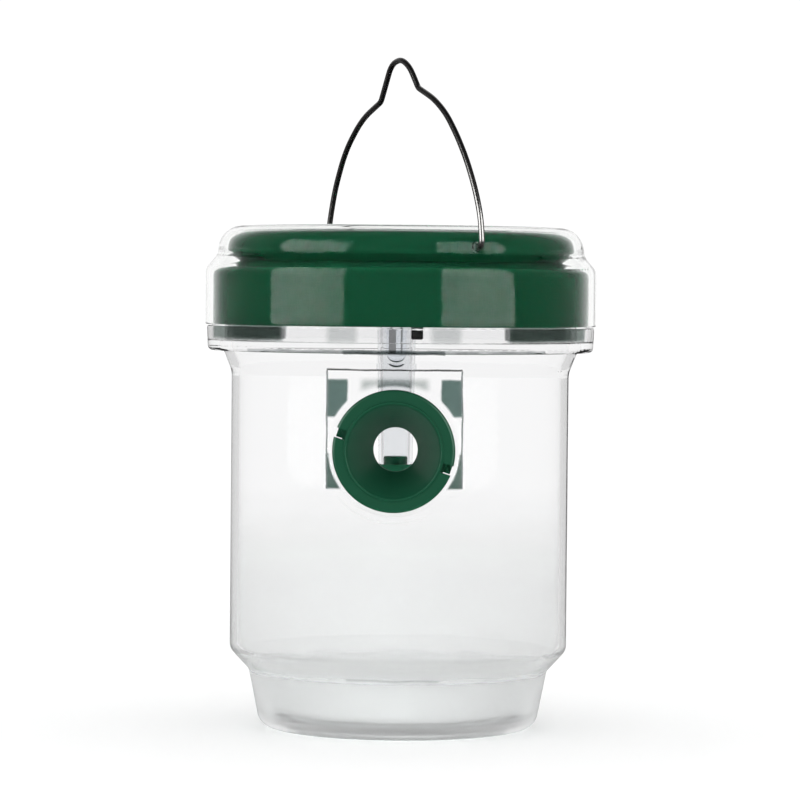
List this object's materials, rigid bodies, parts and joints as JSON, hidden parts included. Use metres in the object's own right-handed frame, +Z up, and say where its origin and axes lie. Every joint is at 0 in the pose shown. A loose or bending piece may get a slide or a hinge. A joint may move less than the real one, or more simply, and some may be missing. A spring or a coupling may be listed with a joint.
{
  "type": "wasp trap",
  "caption": "Clear hanging wasp trap with a green entry funnel, a two-tier lid holding a solar lamp and a wire bail.",
  "frame": {"origin": "centre of the jar's standing ring, on the surface it stands on", "axes": "+Z up along the jar's axis; the entry funnel faces -Y"},
  "size_m": [0.098, 0.098, 0.1681],
  "materials": {
    "clear_jar": "clear, lower half faintly hazed",
    "clear_cover": "clear, polished",
    "clear_tube": "clear, polished",
    "green_plastic": "smooth, gloss",
    "funnel_green": "smooth, semi-gloss",
    "black_plastic": "fine matt",
    "spring_steel": "drawn wire, dull bright",
    "zinc_steel": "plated",
    "nickel": "nickel plate",
    "seal_rubber": "soft, matt",
    "foam": "closed-cell foam",
    "solar_blue": "clear resin over dark cells",
    "board_green": "solder resist",
    "chip_black": "moulded",
    "led_clear": "clear epoxy",
    "cell_sleeve": "shrunk film sleeve",
    "lead_red": "insulated wire"
  },
  "bodies": {
    "jar": {"jar": "clear_jar"},
    "funnel": {"entry_funnel": "funnel_green"},
    "seal": {"lid_seal": "seal_rubber"},
    "lid": {"lid_cover": "clear_cover", "lid_ring": "green_plastic", "lid_cap": "green_plastic", "solar_panel": "solar_blue", "solar_pad": "foam", "lamp_housing": "green_plastic", "lamp_tube": "clear_tube", "tube_plug": "green_plastic", "tube_gasket": "seal_rubber", "led_lamp": "led_clear", "led_leads": "zinc_steel", "circuit_board": "board_green", "board_parts": "chip_black", "board_screws": "zinc_steel", "switch_body": "black_plastic", "battery_cell": "cell_sleeve", "battery_holder": "black_plastic", "battery_spring": "nickel", "battery_plate": "nickel", "battery_wires": "lead_red", "housing_screws": "zinc_steel", "solar_wires": "lead_red"},
    "bail": {"bail": "spring_steel"},
    "switch": {"switch_knob": "black_plastic"},
    "door": {"battery_door": "green_plastic", "door_screw": "zinc_steel"}
  },
  "joints": [
    {"name": "lid_lift", "type": "slide", "parent": "jar", "child": "seal", "axis": [0, 0, 1], "range_m": [0, 0.06]},
    {"name": "lid_turn", "type": "hinge", "parent": "seal", "child": "lid", "pos_m": [0, 0, 0.1], "axis": [0, 0, -1], "range_deg": [0, 42]},
    {"name": "bail_swing", "type": "hinge", "parent": "lid", "child": "bail", "pos_m": [0, 0, 0.1201], "axis": [0.4446, -0.8957, 0], "range_deg": [-64, 64]},
    {"name": "funnel_turn", "type": "hinge", "parent": "jar", "child": "funnel", "pos_m": [0, -0.039, 0.0709], "axis": [0, -1, 0], "range_deg": [0, 70]},
    {"name": "switch_slide", "type": "slide", "parent": "lid", "child": "switch", "axis": [-1, 0, 0], "range_m": [0, 0.002]},
    {"name": "door_lift_off", "type": "slide", "parent": "lid", "child": "door", "axis": [0, 0, -1], "range_m": [0, 0.02]}
  ]
}
